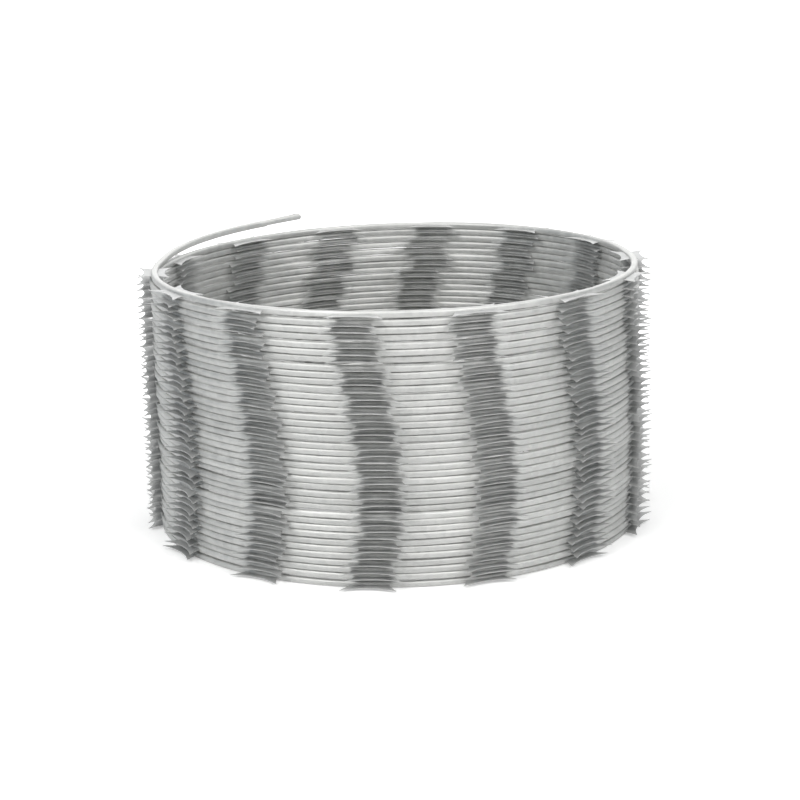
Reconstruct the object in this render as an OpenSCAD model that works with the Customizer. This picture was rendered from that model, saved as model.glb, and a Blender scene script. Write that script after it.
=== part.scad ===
// Collapsed coil of concertina razor wire: barbed steel tape rolled round a spring wire core
// and wound into a stack of turns, with its free end lifting off the top turn.
// Millimetres, +Z up. The coil stands on its bottom turn with its axis on Z.
// Azimuths are counted from the front (-Y) toward the right (+X). The winding climbs clockwise
// as seen from above: each turn lies level round the front half and climbs round the back half.

/* [Coil] */
// Diameter of the coil, measured at the middle of the rolled tape
coil_d = 450; // [380:5:900]
// Number of turns in the stack
turns = 39; // [4:1:46]
// Mean distance between one turn and the next in the loose stack
pitch = 6.14; // [5:0.05:9]
// How much wider the pitch is at the top of the stack than at the bottom
pitch_spread = 0.7; // [0:0.05:1.2]
// Mean number of turns in each group that lies close together
group_turns = 3.5; // [2:0.5:10]
// Extra space under each group of turns
group_gap = 0.8; // [0:0.1:2]
// How far turns lie out of line with their neighbours
lay_wander = 0.9; // [0:0.1:2]

/* [Rolled tape] */
// Width of the tape where it is rolled round its core, across the flats
roll_d = 5.8; // [4:0.1:7]
// Thickness of the steel tape
tape_t = 0.5; // [0.4:0.05:0.8]
// Diameter of the spring wire core
core_d = 2.5; // [1.5:0.1:3]

/* [Blades] */
// Blades on one turn, an even number so that none lies across a joint
blades = 14; // [6:2:16]
// Length of a blade from tip to tip along the tape
blade_l = 50; // [38:1:60]
// Width of a blade from tip to tip across the tape
blade_w = 31; // [20:0.5:36]
// Width of a blade at its waist
waist_w = 19.5; // [12:0.5:28]
// Length of the blade where it grows out of the rolled tape
root_l = 33; // [16:1:46]
// Angle between the left joint of the top turn and the middle of its first blade
first_blade = 9.4; // [9:0.1:11]
// Largest angle by which the blades of lower turns are ahead of those of the top turn
blade_drift = 5.5; // [0:0.5:7]
// How far the blades of a turn lie out of line with their column, in degrees
blade_wander = 0.9; // [0:0.1:1.2]

/* [Free end] */
// Azimuth at which the free end leaves the top turn
lift_azimuth = -96; // [-180:1:180]
// Length over which the free end bends upward
lift_l = 20; // [15:1:80]
// Slope of the free end after it has bent upward
lift_slope = 0.7; // [0.6:0.1:12]
// Radius of the curve in which the free end goes on
free_r = 290; // [180:5:1200]
// Length of that curve
free_l = 193; // [60:1:300]
// Length of the straight stretch behind the cut
cut_l = 60; // [10:1:80]
// How far the core sticks out of the cut tape
core_out = 2; // [0:0.5:20]

/* [Hidden] */
$fn = 96;
galvanised = "#c3c5c4";
spring_steel = "#8f9294";

coil_r = coil_d / 2;
corner_d = roll_d / cos(22.5);
hair = 0.06;
lap = 1;
contact = roll_d + 0.1;
top = turns - 1;
min_hollow = 0.3;
start_turn = 45;
lift_r = lift_l / lift_slope * 180 / PI;
bare_l = 0.8 * cut_l;
blade_turn = 360 / blades;
blade_half_turn = atan(blade_l / (coil_d - blade_w));

// Least distance from turn i - 1 up to turn i: the first climb has to clear the start of the tape
function least_step(i) = (i == 1 ? 1.2 : 1) * contact;

// Whether a new group of turns starts with turn i: the top turn lies loose on the rest
function new_group(i) = i == top || floor(i / group_turns) > floor((i - 1) / group_turns);

// Distance from turn i - 1 up to turn i: wider toward the top and under each group of turns
function step_up(i) = max(least_step(i), pitch
    + pitch_spread * (i / top - 0.5)
    + (new_group(i) ? group_gap : -group_gap / (group_turns - 1)));

// Height of the middle of turn i, where it lies level
function turn_z(i) = i == 0 ? roll_d / 2 : turn_z(i - 1) + step_up(i);

// Distance of turn i from the axis where it comes down to the level front half, on the right
function right_r(i) = coil_r + lay_wander * sin(52 * i + 40);

// Distance of turn i from the axis where it leaves the level front half, on the left
function left_r(i) = coil_r + lay_wander * sin(121 * i);

// Angle from the left joint of turn i to the middle of its first blade: the columns of blades
// lean forward down to the lower third of the coil, and back again below it
function first_of(i) = first_blade + blade_drift * sin(153 * pow((top - i) / top, 1.2))
    + blade_wander * sin(97 * i);

// Angle in degrees that an arc of length l spans at radius r
function span(l, r) = l / r * 180 / PI;

// Radius of a circle whose chord is 2 * half_chord long and whose rise is h
function rise_radius(half_chord, h) = (half_chord * half_chord + h * h) / (2 * h);

// Section of the rolled tape, with level flats at its top and bottom, thinner by some hairs
module roll_section(hairs = 0) {
    corner = (corner_d - hairs * hair) / 2;
    polygon([for (a = [22.5 : 45 : 337.5]) corner * [cos(a), sin(a)]]);
}

// An arc of rolled tape of radius r, from the X axis round to angle
module roll_arc(r, angle, hairs = 0) {
    rotate_extrude(angle = angle) translate([r, 0]) roll_section(hairs);
}

// One side of a straight blade with its middle on the X axis: two barbs with a hollow edge
// between them, on the outer side (1) or inner side (-1) of an arc of tape of radius r
module barb_pair(r, side) {
    root_a = span(root_l / 2, coil_r);
    root = r * [cos(root_a), sin(root_a)];
    tip = [r + side * blade_w / 2, blade_l / 2];
    hollow = max(min_hollow, (blade_w - waist_w) / 2);
    edge_r = rise_radius(tip.y, hollow);
    past = tip + (tip - root) * 0.2;
    difference() {
        polygon([[root.x, -root.y], [past.x, -past.y], past, root]);
        translate([tip.x + side * (edge_r - hollow), 0]) circle(r = edge_r, $fn = 180);
    }
}

// The barbed plates at the given angles of an arc of tape of radius r, half way up its roll
module blade_plates(r, angles) {
    translate([0, 0, -tape_t / 2]) linear_extrude(tape_t)
        for (a = angles)
            rotate(a) {
                barb_pair(r, 1);
                barb_pair(r, -1);
            }
}

// Angles of the blades of turn i that have their middle between two angles
function blades_between(i, low, high) = [for (k = [0 : blades - 1])
    let (a = (first_of(i) + k * blade_turn) % 360) if (a > low && a < high) a];

// The level front half of turn i, from its left joint on the X axis round to its right joint
module front_half(i) {
    r = (left_r(i) + right_r(i)) / 2;
    translate([(left_r(i) - right_r(i)) / 2, 0, turn_z(i)]) {
        roll_arc(r, 180);
        blade_plates(r, blades_between(i, 0, 180));
    }
}

// The back half of turn i, tilted to climb from the left joint of the turn below to its own
// right joint. It is a hair thinner, so that its ends lie within those of the level halves.
module back_half(i) {
    across = left_r(i - 1) + right_r(i);
    rise = turn_z(i) - turn_z(i - 1);
    r = norm([across, rise]) / 2;
    translate([left_r(i - 1) - across / 2, 0, turn_z(i) - rise / 2]) rotate([0, atan(rise / across), 0]) {
        rotate(180) roll_arc(r, 180, 1);
        blade_plates(r, blades_between(i, 180, 360));
    }
}

// The start of the tape, level below the first climb, and cut square
module start_piece() {
    r = right_r(0);
    translate([0, 0, turn_z(0)]) {
        rotate(180) roll_arc(r, start_turn, 1);
        blade_plates(r, blades_between(0, 180, 180 + start_turn - blade_half_turn));
    }
}

// Rolled tape that starts just before the origin along X and bends toward -Y.
// Each piece of the free end laps the one before it and is a hair thinner, so that they join.
module bend(r, angle, hairs) {
    translate([0, -r, 0]) rotate(90 - angle) roll_arc(r, angle + span(lap, r), hairs);
}

// Moves a piece to the end of bend(r, angle, hairs)
module after_bend(r, angle) {
    translate([r * sin(angle), r * (cos(angle) - 1), 0]) rotate(-angle) children();
}

// Moves a piece to the left joint of the top turn, its X axis along the tape and -Y upward
module at_lift() {
    translate([left_r(top), 0, turn_z(top)]) rotate([-90, 0, -90]) children();
}

// Moves a piece past the upward bend, onto the sloping curve of the free end
module after_lift() {
    at_lift() after_bend(lift_r, lift_slope) rotate([90, 0, 0]) children();
}

// Moves a piece to the straight stretch behind the cut, with its Z axis along the tape
module at_cut_end() {
    after_lift() after_bend(free_r, span(free_l, free_r)) rotate([0, 90, 0]) children();
}

// The bare end of the tape, bent up off the coil and cut square
module free_end() {
    at_lift() bend(lift_r, lift_slope, 1);
    after_lift() bend(free_r, span(free_l, free_r), 2);
    at_cut_end() difference() {
        translate([0, 0, -lap]) linear_extrude(cut_l + lap) roll_section(3);
        translate([0, 0, cut_l - bare_l]) cylinder(d = core_d, h = cut_l, $fn = 48);
    }
}

module razor_tape() color(galvanised) rotate(lift_azimuth - 90) {
    start_piece();
    for (i = [0 : top]) front_half(i);
    for (i = [1 : top]) back_half(i);
    free_end();
}

module core_wire() color(spring_steel) rotate(lift_azimuth - 90) {
    at_cut_end() translate([0, 0, cut_l - bare_l])
        cylinder(d = core_d, h = bare_l + core_out, $fn = 48);
}

razor_tape();
core_wire();
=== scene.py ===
"""The looks of a collapsed coil of concertina razor wire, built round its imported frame.

Metres, +Z up, in the frame's own axes. The coil stands on its bottom turn with its axis on Z.
Azimuths are counted from the front (-Y) toward the right (+X). Barbed steel tape, rolled round
a spring wire core, is wound into a stack of turns, and its bare end lifts off the top turn.
"""

import logging
import math
from dataclasses import dataclass, field
from enum import Enum
from functools import cache
from random import Random

import bmesh
import bpy
from mathutils import Matrix, Vector


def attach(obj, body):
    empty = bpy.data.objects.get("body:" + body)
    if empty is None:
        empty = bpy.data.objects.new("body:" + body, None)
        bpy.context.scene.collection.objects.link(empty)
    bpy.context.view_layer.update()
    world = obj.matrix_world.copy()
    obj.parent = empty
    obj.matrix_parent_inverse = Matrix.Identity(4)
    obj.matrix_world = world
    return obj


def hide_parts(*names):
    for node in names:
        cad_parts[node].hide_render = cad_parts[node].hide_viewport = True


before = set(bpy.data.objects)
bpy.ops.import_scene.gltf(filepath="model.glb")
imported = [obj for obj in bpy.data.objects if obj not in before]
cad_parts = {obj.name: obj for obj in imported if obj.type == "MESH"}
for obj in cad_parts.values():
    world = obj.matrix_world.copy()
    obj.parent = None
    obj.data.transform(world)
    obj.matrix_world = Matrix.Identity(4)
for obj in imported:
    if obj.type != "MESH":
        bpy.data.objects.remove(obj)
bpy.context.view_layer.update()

log = logging.getLogger("razor_wire")

Colour = tuple[float, float, float]

BODY = "root"
TAPE_NODE = "razor_tape"
CORE_NODE = "core_wire"
SHADER_TREE = "ShaderNodeTree"
WARM = (1.0, 1.0, 0.985)
MM = 0.001


class Socket(Enum):
    """The kinds of named input that the trees and groups use."""

    GEOMETRY = "NodeSocketGeometry"
    OBJECT = "NodeSocketObject"
    MATERIAL = "NodeSocketMaterial"
    NUMBER = "NodeSocketFloat"
    COUNT = "NodeSocketInt"
    VECTOR = "NodeSocketVector"


class Trait(Enum):
    """The attributes that guides carry for their trees, and meshes for their finishes."""

    TONE = "tone"
    PLACE = "place"
    EDGE = "edge"
    FACING = "facing"
    GIRTH = "girth"

    @property
    def is_vector(self) -> bool:
        """Whether it holds a vector and not a number."""
        return self in (Trait.PLACE, Trait.FACING)

    @property
    def kind(self) -> str:
        """Blender's name of the kind of attribute that it is."""
        return "FLOAT_VECTOR" if self.is_vector else "FLOAT"


# ---------------------------------------------------------------- node building


@dataclass
class Wiring:
    """A node tree that is built up step by step, of any kind.

    Args:
        tree: The tree that gets the nodes.
    """

    tree: bpy.types.NodeTree

    def node(self, kind: str, fed: dict | None = None, **settings: object) -> bpy.types.Node:
        """Adds a node.

        Args:
            kind: Blender's name of the node's type.
            fed: What goes into its inputs, by name or number: other sockets, or plain values.
            settings: Properties of the node, by name.

        Returns:
            The new node.
        """
        made = self.tree.nodes.new(kind)
        # The settings decide which inputs there are, so they come first.
        for name, value in settings.items():
            setattr(made, name, value)
        for name, value in (fed or {}).items():
            self.feed(made.inputs[name], value)
        return made

    def feed(self, socket: bpy.types.NodeSocket, value: object) -> None:
        """Links a socket to another, or gives it a plain value.

        Args:
            socket: The input that is fed.
            value: An output socket, or a plain value.
        """
        if isinstance(value, bpy.types.NodeSocket):
            self.tree.links.new(value, socket)
        else:
            socket.default_value = value

    def sums(self, operation: str, *values: object, clamp: bool = False) -> bpy.types.NodeSocket:
        """The result of a Math node that does an operation such as MULTIPLY on some values."""
        fed = dict(enumerate(values))
        return self.node("ShaderNodeMath", fed, operation=operation, use_clamp=clamp).outputs[0]

    def vector_sums(self, operation: str, *values: object) -> bpy.types.NodeSocket:
        """The vector that a Vector Math node makes by an operation such as ADD."""
        fed = dict(enumerate(values))
        return self.node("ShaderNodeVectorMath", fed, operation=operation).outputs[0]

    def vector(self, *numbers: object) -> bpy.types.NodeSocket:
        """Three numbers, put together."""
        return self.node("ShaderNodeCombineXYZ", dict(enumerate(numbers))).outputs[0]

    def spread(
        self, value: object, low: float, high: float, to_low: float = 0.0, to_high: float = 1.0
    ) -> bpy.types.NodeSocket:
        """A range mapped smoothly onto another, and held at its ends."""
        fed = dict(enumerate((value, low, high, to_low, to_high)))
        return self.node("ShaderNodeMapRange", fed, interpolation_type="SMOOTHSTEP").outputs[0]

    def noise(self, where: object, scale: object, detail: float = 2.0) -> bpy.types.NodeSocket:
        """The value of a Noise Texture at a place, with so many waves in one unit."""
        fed = {"Vector": where, "Scale": scale, "Detail": detail}
        return self.node("ShaderNodeTexNoise", fed, noise_dimensions="3D").outputs[0]

    def blend(self, *parts: tuple[object, float], clamp: bool = False) -> bpy.types.NodeSocket:
        """Adds numbers up by their weights.

        Args:
            parts: Each number's socket with its weight.
            clamp: Whether the result is held between 0 and 1.

        Returns:
            The sum.
        """
        weighed = [self.sums("MULTIPLY", value, weight) for value, weight in parts]
        total = weighed[0]
        for part in weighed[1:]:
            total = self.sums("ADD", total, part, clamp=clamp and part is weighed[-1])
        return total

    def tint(self, share: object, low: object, high: object) -> bpy.types.NodeSocket:
        """Mixes two colours.

        Args:
            share: The share of the second, a socket or a number.
            low: The first, a socket or three numbers.
            high: The second.

        Returns:
            The mixed colour.
        """
        made = self.node("ShaderNodeMix", {0: share}, data_type="RGBA")
        # Its sockets for colours come after those for numbers and vectors.
        for socket, colour in ((6, low), (7, high)):
            value = (*colour, 1.0) if isinstance(colour, tuple) else colour
            self.feed(made.inputs[socket], value)
        return made.outputs[2]


class NamedTree(Wiring):
    """A node group with named inputs and outputs."""

    def __init__(
        self, name: str, kind: str, inputs: dict[str, Socket], outputs: dict[str, Socket]
    ) -> None:
        """Starts a group.

        Args:
            name: The group's name.
            kind: Blender's name of the tree's type.
            inputs: Its inputs, by name.
            outputs: Its outputs, by name.
        """
        super().__init__(bpy.data.node_groups.new(name, kind))
        for where, sockets in (("INPUT", inputs), ("OUTPUT", outputs)):
            for label, socket in sockets.items():
                self.tree.interface.new_socket(label, in_out=where, socket_type=socket.value)
        self.entry = self.node("NodeGroupInput")
        self.exit = self.node("NodeGroupOutput")

    def given(self, name: str) -> bpy.types.NodeSocket:
        """The value of a named input, inside the group."""
        return self.entry.outputs[name]

    def put_out(self, name: str, value: bpy.types.NodeSocket) -> None:
        """Links a value to a named output."""
        self.feed(self.exit.inputs[name], value)


class GrowingTree(NamedTree):
    """A Geometry Nodes tree with named inputs, which turns a guide mesh into a plain mesh."""

    def __init__(self, name: str, inputs: dict[str, Socket]) -> None:
        """Starts a tree that takes a guide and a material besides these inputs."""
        inputs = {"Guide": Socket.GEOMETRY, **inputs, "Material": Socket.MATERIAL}
        super().__init__(name, "GeometryNodeTree", inputs, {"Mesh": Socket.GEOMETRY})

    def carried(self, trait: Trait) -> bpy.types.NodeSocket:
        """The value that each point of the guide carries."""
        fed = {"Name": trait.value}
        return self.node("GeometryNodeInputNamedAttribute", fed, data_type=trait.kind).outputs[0]

    def close(self, geometry: bpy.types.NodeSocket) -> None:
        """Ends the tree in Realize Instances and Set Material.

        Args:
            geometry: What the tree has made.
        """
        real = self.node("GeometryNodeRealizeInstances", {"Geometry": geometry})
        fed = {"Geometry": real.outputs["Geometry"], "Material": self.given("Material")}
        dressed = self.node("GeometryNodeSetMaterial", fed)
        self.put_out("Mesh", dressed.outputs["Geometry"])

    def grow(self, guide: bpy.types.Object, **values: object) -> bpy.types.Object:
        """Runs the tree on a guide and makes the result the guide's own plain mesh.

        Args:
            guide: The object whose mesh the tree starts from.
            values: The tree's inputs by name, with _ for a space.

        Returns:
            The same object with its new mesh and no modifier.
        """
        modifier = guide.modifiers.new(self.tree.name, "NODES")
        modifier.node_group = self.tree
        sockets = self.tree.interface.items_tree
        keys = {socket.name: socket.identifier for socket in sockets if socket.in_out == "INPUT"}
        for name, value in values.items():
            modifier[keys[name.replace("_", " ")]] = value
        graph = bpy.context.evaluated_depsgraph_get()
        made = bpy.data.meshes.new_from_object(
            guide.evaluated_get(graph), preserve_all_data_layers=True, depsgraph=graph
        )
        guide.modifiers.remove(modifier)
        spare, guide.data = guide.data, made
        bpy.data.meshes.remove(spare)
        made.name = guide.name
        return guide


# ---------------------------------------------------------------- meshes


def new_object(name: str, data: bpy.types.ID) -> bpy.types.Object:
    """Links a new object to the scene, at the origin.

    Args:
        name: The object's name.
        data: Its mesh, light or camera.

    Returns:
        The object.
    """
    made = bpy.data.objects.new(name, data)
    bpy.context.scene.collection.objects.link(made)
    return made


def as_mesh(work: bmesh.types.BMesh, name: str) -> bpy.types.Mesh:
    """Turns a working mesh into a plain one.

    Args:
        work: The working mesh, which is freed.
        name: The new mesh's name.

    Returns:
        The plain mesh.
    """
    mesh = bpy.data.meshes.new(name)
    work.to_mesh(mesh)
    work.free()
    return mesh


def skin(work: bmesh.types.BMesh, rings: list[list[bmesh.types.BMVert]]) -> None:
    """Puts a band of faces between each closed ring of points and the next.

    Args:
        work: The working mesh.
        rings: The rings, each with as many points.
    """
    count = len(rings[0])
    for near, far in zip(rings, rings[1:]):
        for number in range(count):
            after = (number + 1) % count
            work.faces.new((near[number], near[after], far[after], far[number]))


def shade(piece: bpy.types.Object, sharp: float = 35.0) -> None:
    """Shades a piece smooth, except at edges that bend more than an angle in degrees."""
    piece.data.shade_smooth()
    piece.data.set_sharp_from_angle(angle=math.radians(sharp))


def tidy_shell(piece: bpy.types.Object, sharp: float = 35.0, weld: float = 1e-6) -> None:
    """Welds doubles, turns the faces outward and shades smooth between the sharp edges.

    Args:
        piece: The object whose mesh is put right.
        sharp: Edges that bend more than this angle in degrees stay sharp.
        weld: Points nearer than this are one.
    """
    work = bmesh.new()
    work.from_mesh(piece.data)
    bmesh.ops.remove_doubles(work, verts=work.verts, dist=weld)
    bmesh.ops.recalc_face_normals(work, faces=work.faces)
    work.to_mesh(piece.data)
    work.free()
    shade(piece, sharp)


def store(mesh: bpy.types.Mesh, trait: Trait, values: list) -> None:
    """Stores a value on each point of a mesh.

    Args:
        mesh: The mesh.
        trait: The attribute.
        values: One value a point.
    """
    layer = mesh.attributes.new(trait.value, trait.kind, "POINT")
    if trait.is_vector:
        layer.data.foreach_set("vector", [number for value in values for number in value])
    else:
        layer.data.foreach_set("value", values)


def held(tone: float) -> float:
    """A tone, held between 0 and 1."""
    return min(1.0, max(0.0, tone))


def hand_in(piece: bpy.types.Object, *nodes: str) -> None:
    """Makes a piece of the tape ride and reports it.

    Args:
        piece: The finished piece.
        nodes: CAD nodes that it stands for.
    """
    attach(piece, BODY)
    if nodes:
        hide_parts(*nodes)
    piece.data.calc_loop_triangles()
    log.info("%s: %d triangles", piece.name, len(piece.data.loop_triangles))


# ---------------------------------------------------------------- the winding


@dataclass(frozen=True)
class Winding:
    """How the tape is laid: level round the front half of each turn, climbing round its back.

    The turn frame has the left joint of each turn on +X and the right joint on -X, and the
    tape runs toward smaller angles as it climbs.
    """

    coil_diameter: float = 450 * MM
    turns: int = 39
    pitch: float = 6.14 * MM
    pitch_spread: float = 0.7 * MM
    group_turns: float = 3.5
    group_gap: float = 0.8 * MM
    lay_wander: float = 0.9 * MM
    left_walk: float = 121.0
    right_walk: float = 52.0
    right_start: float = 40.0
    roll: float = 5.8 * MM
    contact: float = 5.9 * MM
    first_climb: float = 1.2
    blades: int = 14
    first_blade: float = 9.4
    blade_drift: float = 5.5
    drift_reach: float = 153.0
    drift_bend: float = 1.2
    blade_wander: float = 0.9
    blade_walk: float = 97.0
    start_turn: float = 45.0
    lift_azimuth: float = -96.0
    lift_length: float = 20 * MM
    lift_slope: float = 0.7
    free_radius: float = 290 * MM
    free_length: float = 193 * MM
    straight: float = 60 * MM
    bare: float = 48 * MM
    weave: float = 0.45 * MM
    weave_walk: float = 2.4
    sway: float = 0.24 * MM
    sway_walk: float = 1.7
    settle: float = 90 * MM
    back_shift: float = 1.4
    back_walk: float = 2.3
    top_looseness: float = 1.6
    back_reach: int = 3

    @property
    def top(self) -> int:
        """The number of the top turn."""
        return self.turns - 1

    @property
    def frame(self) -> Matrix:
        """The turn frame, in the row's frame."""
        return Matrix.Rotation(math.radians(self.lift_azimuth - 90), 4, "Z")

    def group_of(self, turn: int) -> int:
        """The number of the group that a turn lies in."""
        return math.floor(turn / self.group_turns)

    def step_up(self, turn: int) -> float:
        """Distance from the turn below up to a turn: the top turn lies loose on the rest.

        Args:
            turn: The upper turn's number, counted from 0 at the bottom.

        Returns:
            The distance between their middles.
        """
        least = self.contact * (self.first_climb if turn == 1 else 1.0)
        opens = turn == self.top or self.group_of(turn) > self.group_of(turn - 1)
        grouped = self.group_gap if opens else -self.group_gap / (self.group_turns - 1)
        return max(least, self.room(turn) + grouped)

    @cache
    def height(self, turn: int) -> float:
        """Height of the middle of a turn, where it lies level."""
        return self.roll / 2 + sum(self.step_up(lower) for lower in range(1, turn + 1))

    @cache
    def evened(self, turn: int) -> float:
        """How far a turn is off its level height at the back, where the groups spread evenly.

        Args:
            turn: The turn's number.

        Returns:
            The height to add.
        """
        if turn < 2:
            return 0.0
        near = range(max(1, turn - self.back_reach), min(self.top, turn + self.back_reach) + 1)
        slope = (self.height(near[-1]) - self.height(near[0])) / (near[-1] - near[0])
        middle = sum(self.height(other) for other in near) / len(near)
        return middle + slope * (turn - (near[0] + near[-1]) / 2) - self.height(turn)

    def room(self, turn: int) -> float:
        """Mean distance between turns about the height of a turn, whatever its group."""
        return self.pitch + self.pitch_spread * (turn / self.top - 0.5)

    def right(self, turn: int) -> float:
        """Distance of a turn from the axis at its right joint."""
        walk = math.radians(self.right_walk * turn + self.right_start)
        return self.coil_diameter / 2 + self.lay_wander * math.sin(walk)

    def left(self, turn: int) -> float:
        """Distance of a turn from the axis at its left joint."""
        walk = math.radians(self.left_walk * turn)
        return self.coil_diameter / 2 + self.lay_wander * math.sin(walk)

    def first_of(self, turn: int) -> float:
        """Angle from the left joint of a turn to the middle of its first blade.

        Args:
            turn: The turn's number.

        Returns:
            The angle in degrees.
        """
        depth = (self.top - turn) / self.top
        drift = self.blade_drift * math.sin(math.radians(self.drift_reach * depth**self.drift_bend))
        wander = self.blade_wander * math.sin(math.radians(self.blade_walk * turn))
        return self.first_blade + drift + wander

    def half(self, turn: int, back: bool) -> tuple[Matrix, float]:
        """The circle that half a turn lies on.

        Args:
            turn: The turn's number.
            back: True for the half that climbs to this turn from the one below.

        Returns:
            The circle's frame in the row's frame, and its radius.
        """
        right, z = self.right(turn), self.height(turn)
        if turn == 0 and back:
            return self.frame @ Matrix.Translation((0, 0, z)), right
        if not back:
            left = self.left(turn)
            return self.frame @ Matrix.Translation(((left - right) / 2, 0, z)), (left + right) / 2
        left, rise = self.left(turn - 1), self.step_up(turn)
        across = left + right
        centre = self.frame @ Matrix.Translation((left - across / 2, 0, z - rise / 2))
        tilt = Matrix.Rotation(math.atan2(rise, across), 4, "Y")
        return centre @ tilt, math.hypot(across, rise) / 2

    def stray(self, turn: int, angle: float, back: bool) -> Vector:
        """How far the tape lies off its circle: turns stray in and out, groups up and down.

        Args:
            turn: The turn's number.
            angle: The angle from the left joint.
            back: True on the half that climbs to the turn.

        Returns:
            The way off the circle, X outward and Z up.
        """
        bend = math.radians(angle)

        def own(which: int) -> Vector:
            """The way that one turn strays.

            Args:
                which: The turn's number.

            Returns:
                Its way off the circle.
            """
            group = self.group_of(which)
            outward = self.weave * math.sin(2 * bend + self.weave_walk * which)
            sway = self.sway if group else 0.0
            upward = sway * math.sin((2 + group % 2) * bend + self.sway_walk * group)
            return Vector((outward, 0.0, upward))

        if not back or turn == 0:
            return own(turn)
        share = (1 - math.cos(bend)) / 2
        even = self.evened(turn - 1) * (1 - share) + self.evened(turn) * share
        return own(turn - 1).lerp(own(turn), share) + Vector((0.0, 0.0, even * math.sin(bend) ** 2))

    def place(self, turn: int, angle: float, back: bool) -> Matrix:
        """The tape's frame at an angle of a turn.

        Args:
            turn: The turn's number.
            angle: The angle from the left joint.
            back: True on the half that climbs to the turn, where the angle is 180 to 360.

        Returns:
            A frame on the tape's middle line: X outward, Y toward larger angles, Z up.
        """
        circle, radius = self.half(turn, back)
        way = Vector((radius, 0.0, 0.0)) + self.stray(turn, angle, back)
        return circle @ Matrix.Rotation(math.radians(angle), 4, "Z") @ Matrix.Translation(way)

    def blade_places(self, length: float, width: float) -> list[tuple[int, Matrix]]:
        """Places the blades along the turns.

        Args:
            length: A blade's length along the tape.
            width: Its width across the tape.

        Returns:
            The number of each blade's turn, and the tape's frame at the blade's middle.
        """
        end = 180 + self.start_turn - math.degrees(math.atan(length / (self.coil_diameter - width)))
        found = []
        for turn in range(self.turns):
            for number in range(self.blades):
                angle = (self.first_of(turn) + number * 360 / self.blades) % 360
                if angle > 180 and turn > 1:
                    loose = math.sin(self.back_walk * self.group_of(turn))
                    if turn >= self.top - 1:
                        loose = self.top_looseness
                    angle -= self.back_shift * loose * math.sin(math.radians(angle)) ** 2
                if turn > 0 or angle < end:
                    found.append((turn, self.place(turn, angle, angle > 180)))
        return found

    def free_frame(self, along: float) -> Matrix:
        """The tape's frame on its free end.

        Args:
            along: Distance past the left joint of the top turn.

        Returns:
            A frame on the tape's middle line: X along the tape, -Y inward and Z up.
        """
        way = Vector((self.left(self.top), 0.0, self.height(self.top)))
        way += self.stray(self.top, 0.0, False) * max(0.0, 1 - along / self.settle)
        joint = self.frame @ Matrix.Translation(way) @ Matrix.Rotation(math.radians(-90), 4, "Z")
        slope = math.radians(self.lift_slope)
        lift_radius = self.lift_length / slope
        turned = min(along, self.lift_length) / lift_radius
        forth, up = lift_radius * math.sin(turned), lift_radius * (1 - math.cos(turned))
        place = joint @ Matrix.Translation((forth, 0, up)) @ Matrix.Rotation(-turned, 4, "Y")
        bent = min(max(along - self.lift_length, 0.0), self.free_length)
        turned = bent / self.free_radius
        forth, aside = self.free_radius * math.sin(turned), self.free_radius * (math.cos(turned) - 1)
        place = place @ Matrix.Translation((forth, aside, 0)) @ Matrix.Rotation(-turned, 4, "Z")
        straight = max(along - self.lift_length - self.free_length, 0.0)
        return place @ Matrix.Translation((straight, 0, 0))

    @property
    def free_total(self) -> float:
        """Length of the free end, from the top turn to its cut."""
        return self.lift_length + self.free_length + self.straight


# ---------------------------------------------------------------- rolled tape


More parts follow.
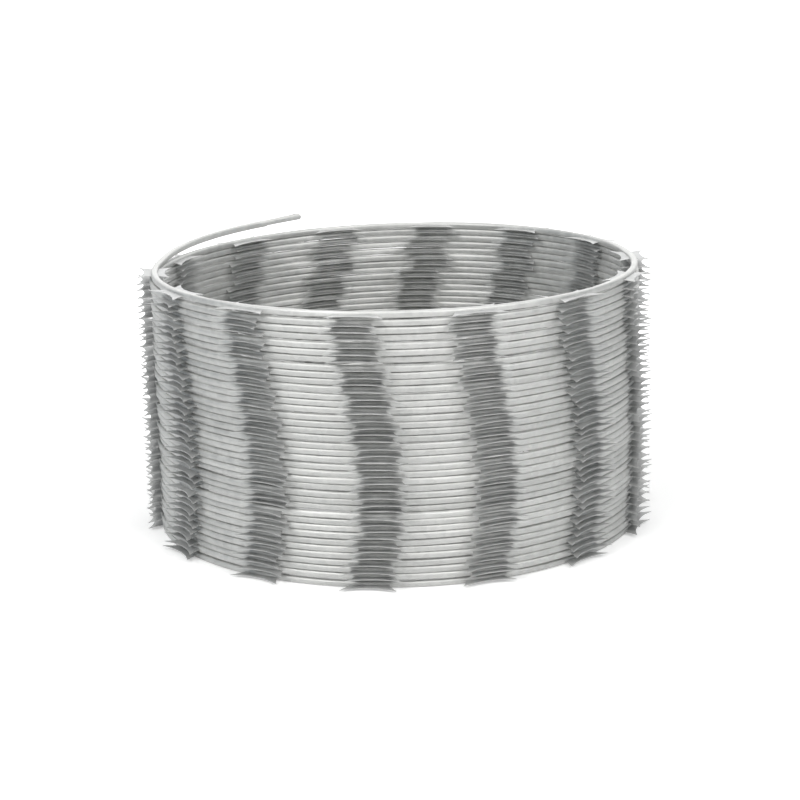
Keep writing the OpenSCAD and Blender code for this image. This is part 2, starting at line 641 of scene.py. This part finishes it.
@dataclass
class RolledTape:
    """The tape where it is rolled round its core, from its start to the last stretch of its end.

    Args:
        winding: How the tape is laid.
        finish: The tape's material.
    """

    winding: Winding
    finish: bpy.types.Material
    sharp: float = 50.0
    outer: float = 3.03 * MM
    lap_step: float = 0.28 * MM
    lap_turn: float = 0.985 * math.tau
    squareness: float = 4.2
    thinning: float = 0.03
    thinning_scale: float = 5.0
    thin_from: float = 0.4
    thin_to: float = 0.65
    swell: float = 1.03
    tight: float = 0.93
    spring: float = 0.03
    sides: int = 16
    seam: float = 1.2
    seam_wander: float = 2.0
    seam_scale: float = 9.0
    segments: int = 66
    free_step: float = 4 * MM
    tone_seed: int = 7
    group_tones: tuple[float, float] = (0.25, 0.75)
    turn_tones: float = 0.25
    clean_tone: float = 1.2

    def tones(self) -> list[float]:
        """Draws tones: neighbours differ a little, and groups of turns a little more.

        Returns:
            A tone for each turn and one past the top, from 0 to 1.
        """
        draw, plan = Random(self.tone_seed), self.winding
        groups = [draw.uniform(*self.group_tones) for _ in range(plan.group_of(plan.turns) + 1)]
        tones = []
        for turn in range(plan.turns + 1):
            tone = groups[plan.group_of(turn)] + draw.uniform(-self.turn_tones, self.turn_tones)
            tones.append(held(tone))
        return tones

    def line(self) -> tuple[list[Vector], list[float], list[float], list[float]]:
        """Lays the tape's middle line from its start to where its last stretch begins.

        Returns:
            The points, and the tone, the girth and the distance along the tape of each.
        """
        plan = self.winding
        tones = self.tones()
        points: list[Vector] = []
        values: list[float] = []
        girths: list[float] = []
        step = 180 / self.segments

        def lay(turn: int, angle_from: float, angle_to: float, back: bool) -> None:
            """Adds an arc of half a turn, without its last point.

            Args:
                turn: The turn's number.
                angle_from: The angle at which the arc starts.
                angle_to: The smaller angle at which it ends.
                back: True on the half that climbs to the turn.
            """
            count = max(1, round((angle_from - angle_to) / step))
            for number in range(count):
                share = number / count
                angle = angle_from + (angle_to - angle_from) * share
                points.append(plan.place(turn, angle, back).translation)
                # Round the back of a turn the tape fills the room between its neighbours.
                girth = self.swell if turn else self.tight
                full = plan.room(turn) / (2 * self.outer)
                loose = max(0.0, full - girth) if back and turn else 0.0
                girths.append(girth + loose * math.sin(math.radians(angle)) ** 2)
                below = tones[turn - 1] if back and turn else tones[turn]
                values.append(below + (tones[turn] - below) * share)

        lay(0, 180 + plan.start_turn, 180, True)
        for turn in range(plan.turns):
            if turn:
                lay(turn, 360, 180, True)
            lay(turn, 180, 0, False)
        length = plan.free_total - plan.bare
        count = round(length / self.free_step)
        for number in range(count + 1):
            points.append(plan.free_frame(length * number / count).translation)
            values.append(tones[plan.top] + (self.clean_tone - tones[plan.top]) * number / count)
            girths.append(self.swell + self.spring * number / count)
        along = [0.0]
        for here, there in zip(points, points[1:]):
            along.append(along[-1] + (there - here).length)
        return points, values, girths, along

    def section(self, tree: GrowingTree) -> bpy.types.NodeSocket:
        """Adds the lapped section: a rounded square that widens from its seam round to its lap.

        Args:
            tree: The tree that gets the nodes.

        Returns:
            The section's closed curve.
        """
        sums, given = tree.sums, tree.given
        fed = {"Resolution": given("Sides")}
        circle = tree.node("GeometryNodeCurvePrimitiveCircle", fed, mode="RADIUS")
        number = tree.node("GeometryNodeInputIndex").outputs[0]
        share = sums("DIVIDE", number, sums("SUBTRACT", given("Sides"), 1.0))
        lap = sums("MULTIPLY", given("Lap Step"), sums("SUBTRACT", 1.0, share))
        angle = sums("ADD", given("Seam Angle"), sums("MULTIPLY", share, self.lap_turn))
        ways = [sums(name, angle) for name in ("COSINE", "SINE")]
        powers = [sums("POWER", sums("ABSOLUTE", way), given("Squareness")) for way in ways]
        root = sums("DIVIDE", -1.0, given("Squareness"))
        square = sums("POWER", sums("ADD", *powers), root)
        radius = sums("MULTIPLY", sums("SUBTRACT", given("Outer Radius"), lap), square)
        across, up = (sums("MULTIPLY", radius, way) for way in ways)
        fed = {"Geometry": circle.outputs["Curve"], "Position": tree.vector(across, up, 0.0)}
        return tree.node("GeometryNodeSetPosition", fed).outputs["Geometry"]

    def tree(self) -> GrowingTree:
        """Builds the tree that sweeps the lapped section along a line.

        Returns:
            The tree.
        """
        sizes = ("Outer Radius", "Lap Step", "Squareness", "Thinning", "Seam Angle", "Seam Wander")
        inputs = {"Sides": Socket.COUNT, **{size: Socket.NUMBER for size in sizes}}
        tree = GrowingTree("rolled tape along a line", inputs)
        line = tree.node("GeometryNodeMeshToCurve", {"Mesh": tree.given("Guide")}).outputs["Curve"]
        level = tree.node("GeometryNodeSetCurveNormal", {"Curve": line}, mode="Z_UP")
        place = tree.carried(Trait.PLACE)
        # Noise runs from 0 to 1, so its middle comes off for a seam that wanders both ways.
        wander = tree.sums("SUBTRACT", tree.noise(place, self.seam_scale), 0.5)
        turned = tree.sums("MULTIPLY", wander, tree.given("Seam Wander"))
        fed = {"Curve": level.outputs["Curve"], "Tilt": turned}
        tilt = tree.node("GeometryNodeSetCurveTilt", fed)
        slow = tree.spread(tree.noise(place, self.thinning_scale), self.thin_from, self.thin_to)
        thinned = tree.sums("MULTIPLY", slow, tree.given("Thinning"))
        fed = {
            "Curve": tilt.outputs["Curve"],
            "Profile Curve": self.section(tree),
            "Scale": tree.sums("SUBTRACT", tree.carried(Trait.GIRTH), thinned),
            "Fill Caps": True,
        }
        tree.close(tree.node("GeometryNodeCurveToMesh", fed).outputs["Mesh"])
        return tree

    def build(self) -> bpy.types.Object:
        """Makes the rolled tape as one piece.

        Returns:
            The piece.
        """
        points, tones, girths, along = self.line()
        guide = bpy.data.meshes.new("rolled_tape")
        guide.from_pydata(points, [(n, n + 1) for n in range(len(points) - 1)], [])
        store(guide, Trait.TONE, tones)
        store(guide, Trait.GIRTH, girths)
        store(guide, Trait.PLACE, [(far, 0.0, 0.0) for far in along])
        piece = self.tree().grow(
            new_object("rolled_tape", guide),
            Sides=self.sides,
            Outer_Radius=self.outer,
            Lap_Step=self.lap_step,
            Squareness=self.squareness,
            Thinning=self.thinning,
            Seam_Angle=self.seam,
            Seam_Wander=self.seam_wander,
            Material=self.finish,
        )
        tidy_shell(piece, self.sharp)
        hand_in(piece, TAPE_NODE)
        return piece


@dataclass
class CutEnd:
    """The last stretch of the free end: tape wrapped round its core, springing open, cut square.

    Args:
        winding: How the tape is laid.
        finish: The tape's material.
    """

    winding: Winding
    finish: bpy.types.Material
    outer: float = 3.12 * MM
    inner: float = 1.27 * MM
    tape: float = 0.46 * MM
    wraps: float = 2.7
    seam: float = 1.2
    flare: float = 0.6 * MM
    steps: int = 60
    stations: int = 13
    weld: float = 1e-8
    clean_tone: float = 1.2

    def section(self, flare: float) -> list[tuple[float, float]]:
        """Works out the section of the wrapped tape.

        Args:
            flare: How far the tape has sprung open.

        Returns:
            One closed line, round the outside of the tape and back along its inside.
        """
        outside, inside = [], []
        for number in range(self.steps + 1):
            share = number / self.steps
            angle = self.seam - math.tau * self.wraps * (1 - share)
            radius = self.inner + (self.outer + flare - self.inner - self.tape) * share
            for line, reach in ((outside, radius + self.tape), (inside, radius)):
                line.append((reach * math.cos(angle), reach * math.sin(angle)))
        return outside + inside[::-1]

    def build(self) -> bpy.types.Object:
        """Makes the wrapped end as one piece.

        Returns:
            The piece.
        """
        work = bmesh.new()
        start = self.winding.free_total - self.winding.bare
        rings = []
        for number in range(self.stations):
            share = number / (self.stations - 1)
            place = self.winding.free_frame(start + self.winding.bare * share)
            section = self.section(self.flare * share**2)
            corners = [place @ Vector((0, across, up)) for across, up in section]
            rings.append([work.verts.new(corner) for corner in corners])
        skin(work, rings)
        for ring in (rings[0][::-1], rings[-1]):
            for number in range(self.steps):
                back = len(ring) - 1 - number
                work.faces.new((ring[number], ring[number + 1], ring[back - 1], ring[back]))
        mesh = as_mesh(work, "cut_end")
        store(mesh, Trait.TONE, [self.clean_tone] * len(mesh.vertices))
        mesh.materials.append(self.finish)
        piece = new_object("cut_end", mesh)
        tidy_shell(piece, weld=self.weld)
        hand_in(piece)
        return piece


# ---------------------------------------------------------------- blades


@dataclass
class Blades:
    """The flat, four-pointed blades that stand out from the rolled tape on both sides.

    Args:
        winding: How the tape is laid.
        finish: The blades' material.
    """

    winding: Winding
    finish: bpy.types.Material
    length: float = 50 * MM
    width: float = 31 * MM
    waist: float = 19.5 * MM
    root: float = 33 * MM
    thickness: float = 0.5 * MM
    burr: float = 0.11 * MM
    hollow_steps: int = 6
    hollow_reach: float = 0.44
    end_hollow: float = 0.9 * MM
    twist: float = 2.6
    nod: float = 0.35
    lift: float = 0.22 * MM
    tone_spread: float = 0.2
    seed: int = 11

    def outline(self) -> list[Vector]:
        """Works out the blade's outline: two hollow sides, two hollow ends and two roots.

        Returns:
            Its corners, counter-clockwise, with X outward and Y along the tape.
        """
        half_l, half_w, depth = self.length / 2, self.width / 2, (self.width - self.waist) / 2
        edge = (half_l**2 + depth**2) / (2 * depth)
        reach, count = self.hollow_reach * self.root, self.hollow_steps - 2
        within = [reach * (2 * number / count - 1) for number in range(count + 1)]
        along = [-half_l, *within, half_l]
        hollow = [Vector((half_w - depth + edge - math.sqrt(edge**2 - y**2), y)) for y in along]
        bow = self.winding.coil_diameter / 2
        drop = bow - math.sqrt(bow**2 - (self.root / 2) ** 2)
        root = Vector((-drop, self.root / 2))
        inner = [Vector((-point.x, -point.y)) for point in hollow]
        ends = []
        for tip in (hollow[-1], inner[0]):
            chord = (tip - root).normalized()
            inward = Vector((abs(chord.y) * (1 if tip.x > 0 else -1), -abs(chord.x)))
            ends.append((tip + root) / 2 + inward * self.end_hollow)
        far = [Vector((point.x, -point.y)) for point in (ends[1], root, ends[0])]
        return [*hollow, ends[0], root, ends[1], *inner, *far]

    def inset(self, points: list[Vector], depth: float) -> list[Vector]:
        """Draws an outline in.

        Args:
            points: The outline's corners, counter-clockwise.
            depth: How far each side moves in.

        Returns:
            The corners of the smaller outline.
        """
        moved = []
        for number, point in enumerate(points):
            before = (point - points[number - 1]).normalized()
            after = (points[(number + 1) % len(points)] - point).normalized()
            outs = Vector((before.y, -before.x)), Vector((after.y, -after.x))
            moved.append(point - depth * (outs[0] + outs[1]) / (1 + outs[0].dot(outs[1])))
        return moved

    def pattern(self) -> bpy.types.Object:
        """Makes the blade that the tree repeats, with its upper edge eased by the shears.

        Returns:
            The blade, at the origin.
        """
        full = self.outline()
        drawn = self.inset(full, self.burr)
        top = self.thickness / 2
        work = bmesh.new()
        rings = [
            [work.verts.new((point.x, point.y, z)) for point in ring]
            for ring, z in ((full, -top), (full, top - self.burr), (drawn, top))
        ]
        skin(work, rings)
        # Panels lie across the waist, and two fans at each end cover its tips and its root.
        count, last = len(full), self.hollow_steps
        panels = [(n, n + 1, count - 5 - n, count - 4 - n) for n in range(1, last - 1)]
        for start in (last - 1, last - 1 + count // 2):
            near, tip, edge, root, far_edge, far_tip, far = ((start + n) % count for n in range(7))
            panels += [(near, tip, edge), (near, edge, root), (near, root, far)]
            panels += [(root, far_edge, far), (far_edge, far_tip, far)]
        for panel in panels:
            work.faces.new([rings[-1][n] for n in panel])
            work.faces.new([rings[0][n] for n in reversed(panel)])
        mesh = as_mesh(work, "blade_pattern")
        eased = top - self.burr / 2
        store(mesh, Trait.PLACE, [tuple(v.co) for v in mesh.vertices])
        store(mesh, Trait.EDGE, [0.0 if v.co.z > eased else 1.0 for v in mesh.vertices])
        return new_object("blade_pattern", mesh)

    def tree(self) -> GrowingTree:
        """Builds the tree that sets a blade on each point and lets each differ a little.

        Returns:
            The tree.
        """
        sizes = {size: Socket.NUMBER for size in ("Twist", "Nod", "Lift")}
        inputs = {"Blade": Socket.OBJECT, **sizes, "Seed": Socket.COUNT}
        tree = GrowingTree("blades on the tape", inputs)

        def draw(size: str, salt: int) -> bpy.types.NodeSocket:
            """Draws a number for each blade.

            Args:
                size: The input that says how far the number may be from 0.
                salt: What sets this draw apart from the others.

            Returns:
                The number.
            """
            high = tree.given(size)
            low = tree.sums("MULTIPLY", high, -1.0)
            seed = tree.sums("ADD", tree.given("Seed"), float(salt))
            # The node's sockets for numbers come after those for vectors.
            fed = {2: low, 3: high, "Seed": seed}
            return tree.node("FunctionNodeRandomValue", fed, data_type="FLOAT").outputs[1]

        cloud = tree.node("GeometryNodeMeshToPoints", {"Mesh": tree.given("Guide")})
        lift = tree.vector(0.0, 0.0, draw("Lift", 4))
        fed = {"Geometry": cloud.outputs["Points"], "Offset": lift}
        lifted = tree.node("GeometryNodeSetPosition", fed)
        facing = tree.carried(Trait.FACING)
        own = tree.vector(draw("Nod", 1), draw("Twist", 2), draw("Nod", 3))
        turns = [tree.node("FunctionNodeEulerToRotation", {0: angles}) for angles in (facing, own)]
        fed = {number: turn.outputs[0] for number, turn in enumerate(turns)}
        turned = tree.node("FunctionNodeRotateRotation", fed, rotation_space="LOCAL")
        fed = {"Object": tree.given("Blade"), "As Instance": True}
        blade = tree.node("GeometryNodeObjectInfo", fed, transform_space="ORIGINAL")
        fed = {
            "Points": lifted.outputs["Geometry"],
            "Instance": blade.outputs["Geometry"],
            "Rotation": turned.outputs[0],
        }
        tree.close(tree.node("GeometryNodeInstanceOnPoints", fed).outputs["Instances"])
        return tree

    def build(self, tones: list[float]) -> bpy.types.Object:
        """Makes all the blades as one piece.

        Args:
            tones: The tone of each turn.

        Returns:
            The piece.
        """
        places = self.winding.blade_places(self.length, self.width)
        draw, spread = Random(self.seed), self.tone_spread
        guide = bpy.data.meshes.new("blades")
        guide.from_pydata([place.translation for _, place in places], [], [])
        own_tones = [held(tones[turn] + draw.uniform(-spread, spread)) for turn, _ in places]
        store(guide, Trait.FACING, [tuple(place.to_euler("XYZ")) for _, place in places])
        store(guide, Trait.TONE, own_tones)
        pattern = self.pattern()
        piece = self.tree().grow(
            new_object("blades", guide),
            Blade=pattern,
            Twist=math.radians(self.twist),
            Nod=math.radians(self.nod),
            Lift=self.lift,
            Seed=self.seed,
            Material=self.finish,
        )
        bpy.data.objects.remove(pattern)
        shade(piece)
        hand_in(piece, TAPE_NODE)
        log.info("%d blades", len(places))
        return piece


# ---------------------------------------------------------------- finishes


@dataclass(frozen=True)
class Effects:
    """The node groups that the finishes share."""

    spangle: bpy.types.NodeTree
    lines: bpy.types.NodeTree

    @staticmethod
    def zinc_spangle(
        low: float = 0.35, high: float = 0.7, detail: float = 4.0
    ) -> bpy.types.NodeTree:
        """Crystals of a zinc coat: patches of slightly different tone, mottled with dull bloom.

        Args:
            low: The noise value at which the bloom starts.
            high: The noise value at which it is full.
            detail: How many finer layers it has.

        Returns:
            The node group.
        """
        sizes = {"Crystal Size": Socket.NUMBER, "Bloom Size": Socket.NUMBER}
        masks = {"Tone": Socket.NUMBER, "Bloom": Socket.NUMBER}
        group = NamedTree("zinc spangle", SHADER_TREE, {"Vector": Socket.VECTOR, **sizes}, masks)
        where = group.given("Vector")
        fine, coarse = (group.sums("DIVIDE", 1.0, group.given(size)) for size in sizes)
        fed = {"Vector": where, "Scale": fine}
        cells = group.node("ShaderNodeTexVoronoi", fed, feature="F1", voronoi_dimensions="3D")
        parts = group.node("ShaderNodeSeparateColor", {0: cells.outputs["Color"]})
        group.put_out("Tone", parts.outputs[0])
        group.put_out("Bloom", group.spread(group.noise(where, coarse, detail), low, high))
        return group.tree

    @staticmethod
    def drawn_lines(detail: float = 3.0) -> bpy.types.NodeTree:
        """Fine lines along the metal, from rolling or drawing.

        Args:
            detail: How many finer layers they have.

        Returns:
            The node group.
        """
        sizes = {"Along": Socket.NUMBER, "Across": Socket.NUMBER}
        inputs = {"Vector": Socket.VECTOR, **sizes}
        group = NamedTree("drawn lines", SHADER_TREE, inputs, {"Line": Socket.NUMBER})
        along, across = (group.sums("DIVIDE", 1.0, group.given(size)) for size in sizes)
        scales = group.vector(across, along, across)
        scaled = group.vector_sums("MULTIPLY", group.given("Vector"), scales)
        group.put_out("Line", group.noise(scaled, 1.0, detail))
        return group.tree

    @classmethod
    def make(cls) -> "Effects":
        """Builds the groups."""
        return cls(cls.zinc_spangle(), cls.drawn_lines())


@dataclass(frozen=True)
class SteelFinish:
    """A metal finish: a zinc coat or bare drawn steel, whole or cut.

    When cut, its sides and underside are lighter, partly as bare steel and partly as a painted glint,
    and its tips are lighter as painted light, clear of the shade between the blades.

    Args:
        name: The material's name.
        dark: Its darkest colour.
        light: Its lightest colour.
    """

    name: str
    dark: Colour
    light: Colour
    metallic: float = 0.55
    smooth: float = 0.46
    rough: float = 0.62
    crystal: float = 5 * MM
    bloom: float = 9 * MM
    line_along: float = 30 * MM
    line_across: float = 0.35 * MM
    relief: float = 0.04 * MM
    relief_strength: float = 0.5
    tone_share: float = 0.5
    crystal_share: float = 0.22
    bloom_share: float = 0.16
    line_share: float = 0.12
    bloom_dulls: float = 0.6
    line_lifts: float = 0.6
    cut: bool = False
    edge_gloss: float = 0.1
    # How far a cut blade's sides and underside go toward the pale colour below: partly bare cut
    # steel, partly a painted glint.
    edge_share: float = 0.35
    bare_steel_and_painted_light: Colour = (0.66, 0.66, 0.65)
    # How far the tips go toward the pale colour, as painted light for the light that they catch.
    painted_tip_light: float = 0.4
    tip_from: float = 13 * MM
    tip_to: float = 23 * MM

    def material(self, effects: Effects) -> bpy.types.Material:
        """Builds the material.

        Args:
            effects: The shared node groups.

        Returns:
            The material.
        """
        made = bpy.data.materials.new(self.name)
        made.use_nodes = True
        nodes = Wiring(made.node_tree)
        shader = made.node_tree.nodes["Principled BSDF"]
        shader.inputs["Metallic"].default_value = self.metallic

        def carried(trait: Trait) -> bpy.types.NodeSocket:
            """The value that the mesh carries."""
            outputs = nodes.node("ShaderNodeAttribute", attribute_name=trait.value).outputs
            return outputs["Vector" if trait.is_vector else "Fac"]

        def effect(tree: bpy.types.NodeTree, fed: dict[str, object]) -> bpy.types.NodeOutputs:
            """The outputs of a shared group that is fed these values."""
            return nodes.node("ShaderNodeGroup", fed, node_tree=tree).outputs

        where = along = nodes.node("ShaderNodeTexCoord").outputs["Object"]
        tone = carried(Trait.TONE)
        if self.cut:
            place = carried(Trait.PLACE)
            along = nodes.vector_sums("ADD", place, nodes.vector(tone, tone, tone))
        sizes = {"Crystal Size": self.crystal, "Bloom Size": self.bloom}
        zinc = effect(effects.spangle, {"Vector": where, **sizes})
        crystal, bloom = zinc["Tone"], zinc["Bloom"]
        sizes = {"Along": self.line_along, "Across": self.line_across}
        line = effect(effects.lines, {"Vector": along, **sizes})["Line"]
        level = nodes.blend(
            (tone, self.tone_share),
            (crystal, self.crystal_share),
            (bloom, self.bloom_share),
            (line, self.line_share),
            clamp=True,
        )
        colour = nodes.tint(level, self.dark, self.light)
        dull = nodes.blend((bloom, self.bloom_dulls), (crystal, 1 - self.bloom_dulls))
        roughness = nodes.spread(dull, 0.0, 1.0, self.smooth, self.rough)
        if self.cut:
            # Sides and underside lighten toward a pale steel colour: partly the bare cut steel,
            # partly a painted glint.
            edge = carried(Trait.EDGE)
            parts = nodes.node("ShaderNodeSeparateXYZ", {0: place})
            reach = nodes.sums("ABSOLUTE", parts.outputs["Y"])
            # Painted light: the tips grow lighter from the middle outward, for the light that reaches
            # them clear of the blades' shade.
            tip = nodes.spread(reach, self.tip_from, self.tip_to, 0.0, self.painted_tip_light)
            # This mask carries both the lighter edges (bare steel and painted glint) and the painted
            # light on the tips.
            bare = nodes.sums("MAXIMUM", nodes.sums("MULTIPLY", edge, self.edge_share), tip)
            colour = nodes.tint(bare, colour, self.bare_steel_and_painted_light)
            glossier = nodes.sums("MULTIPLY", edge, self.edge_gloss)
            roughness = nodes.sums("SUBTRACT", roughness, glossier)
        height = nodes.blend((line, self.line_lifts), (bloom, 1 - self.line_lifts))
        fed = {"Strength": self.relief_strength, "Distance": self.relief, "Height": height}
        bump = nodes.node("ShaderNodeBump", fed)
        nodes.feed(shader.inputs["Base Color"], colour)
        nodes.feed(shader.inputs["Roughness"], roughness)
        nodes.feed(shader.inputs["Normal"], bump.outputs["Normal"])
        return made


# ---------------------------------------------------------------- studio


def matt(name: str, colour: Colour, roughness: float = 0.9, gloss: float = 0.1) -> bpy.types.Material:
    """Makes a plain dull material for the studio.

    Args:
        name: The material's name.
        colour: Its colour.
        roughness: How dull it is.
        gloss: How much light its coat reflects.

    Returns:
        The material.
    """
    made = bpy.data.materials.new(name)
    made.use_nodes = True
    shader = made.node_tree.nodes["Principled BSDF"]
    shader.inputs["Base Color"].default_value = (*colour, 1.0)
    shader.inputs["Roughness"].default_value = roughness
    shader.inputs["Specular IOR Level"].default_value = gloss
    return made


def toward(azimuth: float, elevation: float) -> Vector:
    """The way from the coil toward an azimuth and an elevation in degrees, 1 long."""
    a, e = math.radians(azimuth), math.radians(elevation)
    return Vector((math.sin(a) * math.cos(e), -math.cos(a) * math.cos(e), math.sin(e)))


@dataclass
class Lamp:
    """A soft rectangular lamp that faces the coil.

    Args:
        name: The lamp's name.
        azimuth: Degrees from the front toward the right.
        elevation: Degrees up from level.
        distance: How far it hangs from the point that it faces.
        width: Its width.
        height: Its height.
        watts: Its power.
    """

    name: str
    azimuth: float
    elevation: float
    distance: float
    width: float
    height: float
    watts: float
    colour: Colour = (1.0, 1.0, 1.0)

    def hang(self, target: Vector) -> None:
        """Makes the lamp.

        Args:
            target: The point that it faces.
        """
        light = bpy.data.lights.new(self.name, "AREA")
        light.shape, light.size, light.size_y = "RECTANGLE", self.width, self.height
        light.energy, light.color = self.watts, self.colour
        holder = new_object(self.name, light)
        way = toward(self.azimuth, self.elevation)
        holder.location = target + way * self.distance
        holder.rotation_euler = way.to_track_quat("Z", "Y").to_euler()


@dataclass
class Card:
    """A tall curved card round part of the coil, which the camera does not see.

    Args:
        name: The card's name.
        azimuth_from: Where it starts, in degrees from the front toward the right.
        azimuth_to: Where it ends.
        radius: Its distance from the coil's axis.
        high: Height of its upper edge.
        colour: Its colour.
    """

    name: str
    azimuth_from: float
    azimuth_to: float
    radius: float
    high: float
    colour: Colour
    low: float = 0.0
    panels: int = 24

    def stand(self) -> None:
        """Makes the card, which the camera does not see."""
        work = bmesh.new()
        rows = []
        for number in range(self.panels + 1):
            share = number / self.panels
            a = math.radians(self.azimuth_from + (self.azimuth_to - self.azimuth_from) * share)
            x, y = self.radius * math.sin(a), -self.radius * math.cos(a)
            rows.append([work.verts.new((x, y, z)) for z in (self.low, self.high)])
        for near, far in zip(rows, rows[1:]):
            work.faces.new((near[0], far[0], far[1], near[1]))
        mesh = as_mesh(work, self.name)
        mesh.materials.append(matt(self.name, self.colour))
        card = new_object(self.name, mesh)
        card.visible_camera = False


@dataclass
class Studio:
    """Pale floor, bright surround, soft lamps and the camera."""

    floor_radius: float = 14.0
    floor_sides: int = 96
    floor_tone: float = 0.8
    glow_near: float = 0.42
    glow_far: float = 1.0
    glow_from: float = 0.28
    glow_to: float = 0.75
    glow_in_metal: float = 0.35
    glow_in_coil: float = 0.2
    coil_from: float = 0.16
    coil_to: float = 0.26
    sky_level: float = 0.55
    camera_elevation: float = 14.23
    camera_distance: float = 2.103
    lens: float = 99.4
    sensor: float = 36.0
    clip: tuple[float, float] = (0.05, 60.0)
    camera_roll: float = 1.24
    aim_height: float = 0.1195
    aim_right: float = 0.0029
    aim_down: float = 0.0098
    lamps: list[Lamp] = field(default_factory=list)
    cards: list[Card] = field(default_factory=list)

    @staticmethod
    def seen(nodes: Wiring, in_metal: float = 1.0) -> bpy.types.NodeSocket:
        """A mask that is 1 for rays that show the background, straight or in glass.

        Args:
            nodes: The tree that gets the mask.
            in_metal: The mask's value for rays that show the background in metal.

        Returns:
            The mask's socket.
        """
        path = nodes.node("ShaderNodeLightPath").outputs
        glossy = nodes.sums("MULTIPLY", path["Is Glossy Ray"], in_metal)
        shown = nodes.sums("MAXIMUM", path["Is Camera Ray"], glossy)
        return nodes.sums("MAXIMUM", shown, path["Is Transmission Ray"])

    def lay_floor(self) -> None:
        """Makes the pale floor, which stays white around the shadow of the coil."""
        work = bmesh.new()
        bmesh.ops.create_circle(
            work, cap_ends=True, radius=self.floor_radius, segments=self.floor_sides
        )
        mesh = as_mesh(work, "floor")
        floor = new_object("floor", mesh)
        made = matt("pale floor", (self.floor_tone,) * 3)
        nodes = Wiring(made.node_tree)
        shader = made.node_tree.nodes["Principled BSDF"]
        shader.inputs["Emission Color"].default_value = (1.0, 1.0, 1.0, 1.0)
        fed = {0: nodes.node("ShaderNodeTexCoord").outputs["Object"]}
        span = nodes.node("ShaderNodeVectorMath", fed, operation="LENGTH").outputs["Value"]
        glow = nodes.spread(span, self.glow_from, self.glow_to, self.glow_near, self.glow_far)
        # Inside the coil the glow drops low: a painted shade that darkens the floor in the coil's
        # hollow, on top of its real shade.
        within = nodes.spread(span, self.coil_from, self.coil_to, self.glow_in_coil)
        shown = nodes.sums("MULTIPLY", self.seen(nodes, self.glow_in_metal), within)
        nodes.feed(shader.inputs["Emission Strength"], nodes.sums("MULTIPLY", shown, glow))
        mesh.materials.append(made)

    def surround(self) -> None:
        """Makes the world: white where it is seen, softer where it lights."""
        world = bpy.data.worlds.new("surround")
        bpy.context.scene.world = world
        world.use_nodes = True
        nodes = Wiring(world.node_tree)
        light = world.node_tree.nodes["Background"]
        light.inputs["Color"].default_value = (1.0, 1.0, 1.0, 1.0)
        strength = nodes.sums("MAXIMUM", self.seen(nodes), self.sky_level)
        nodes.feed(light.inputs["Strength"], strength)

    def aim_camera(self) -> None:
        """Makes the camera, low in front of the coil and a little above it."""
        data = bpy.data.cameras.new("camera")
        data.lens, data.sensor_width = self.lens, self.sensor
        data.clip_start, data.clip_end = self.clip
        camera = new_object("camera", data)
        way = toward(0, self.camera_elevation)
        up = Vector((0.0, way.z, -way.y))
        camera.location = Vector((0, 0, self.aim_height)) + way * self.camera_distance
        aim = Vector((self.aim_right, 0, self.aim_height)) - up * self.aim_down
        look = (camera.location - aim).to_track_quat("Z", "Y").to_matrix()
        roll = Matrix.Rotation(math.radians(-self.camera_roll), 3, "Z")
        camera.rotation_euler = (look @ roll).to_euler()
        bpy.context.scene.camera = camera

    def build(self) -> None:
        """Makes the whole studio."""
        self.lay_floor()
        self.surround()
        for lamp in self.lamps:
            lamp.hang(Vector((0, 0, self.aim_height)))
        for card in self.cards:
            card.stand()
        self.aim_camera()
        bpy.context.scene.view_settings.view_transform = "Standard"


# ---------------------------------------------------------------- all together


def main() -> None:
    """Builds the coil and its studio."""
    effects = Effects.make()
    rolled = SteelFinish(
        "galvanised rolled tape",
        dark=(0.50, 0.505, 0.495),
        light=(0.78, 0.78, 0.765),
    ).material(effects)
    # The blades are the same galvanised tape, but their colours are set darker than the rolled
    # tape's: a painted shade for the shade between the stacked blades.
    flat = SteelFinish(
        "galvanised blades",
        dark=(0.395, 0.40, 0.40),
        light=(0.64, 0.645, 0.64),
        cut=True,
    ).material(effects)
    core = SteelFinish(
        "drawn spring steel",
        dark=(0.30, 0.31, 0.32),
        light=(0.55, 0.56, 0.57),
        metallic=0.95,
        smooth=0.28,
        rough=0.42,
    ).material(effects)
    winding = Winding()
    tape = RolledTape(winding, rolled)
    tape.build()
    CutEnd(winding, rolled).build()
    Blades(winding, flat).build(tape.tones())
    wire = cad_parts[CORE_NODE]
    wire.data.materials.clear()
    wire.data.materials.append(core)
    log.info("%s: %s", wire.name, core.name)
    Studio(
        lamps=[
            Lamp("key", 42, 42, 3.2, width=1.6, height=1.6, watts=40, colour=WARM),
            Lamp("fill", -42, 42, 3.2, width=1.6, height=1.6, watts=43, colour=WARM),
            Lamp("overhead", 0, 84, 2.6, width=2.4, height=2.4, watts=4),
            Lamp("back", 176, 18, 3.6, width=3.4, height=1.6, watts=24),
        ],
        cards=[
            Card("left card", -56, -122, 2.0, high=2.0, colour=(0.20, 0.25, 0.29)),
            Card("right card", 54, 118, 2.0, high=2.0, colour=(0.18, 0.21, 0.23)),
            Card("front card", -26, 14, 2.6, high=1.8, colour=(0.10, 0.10, 0.10)),
        ],
    ).build()


if __name__ == "__main__":
    logging.basicConfig(level=logging.INFO, format="%(name)s: %(message)s")
    main()
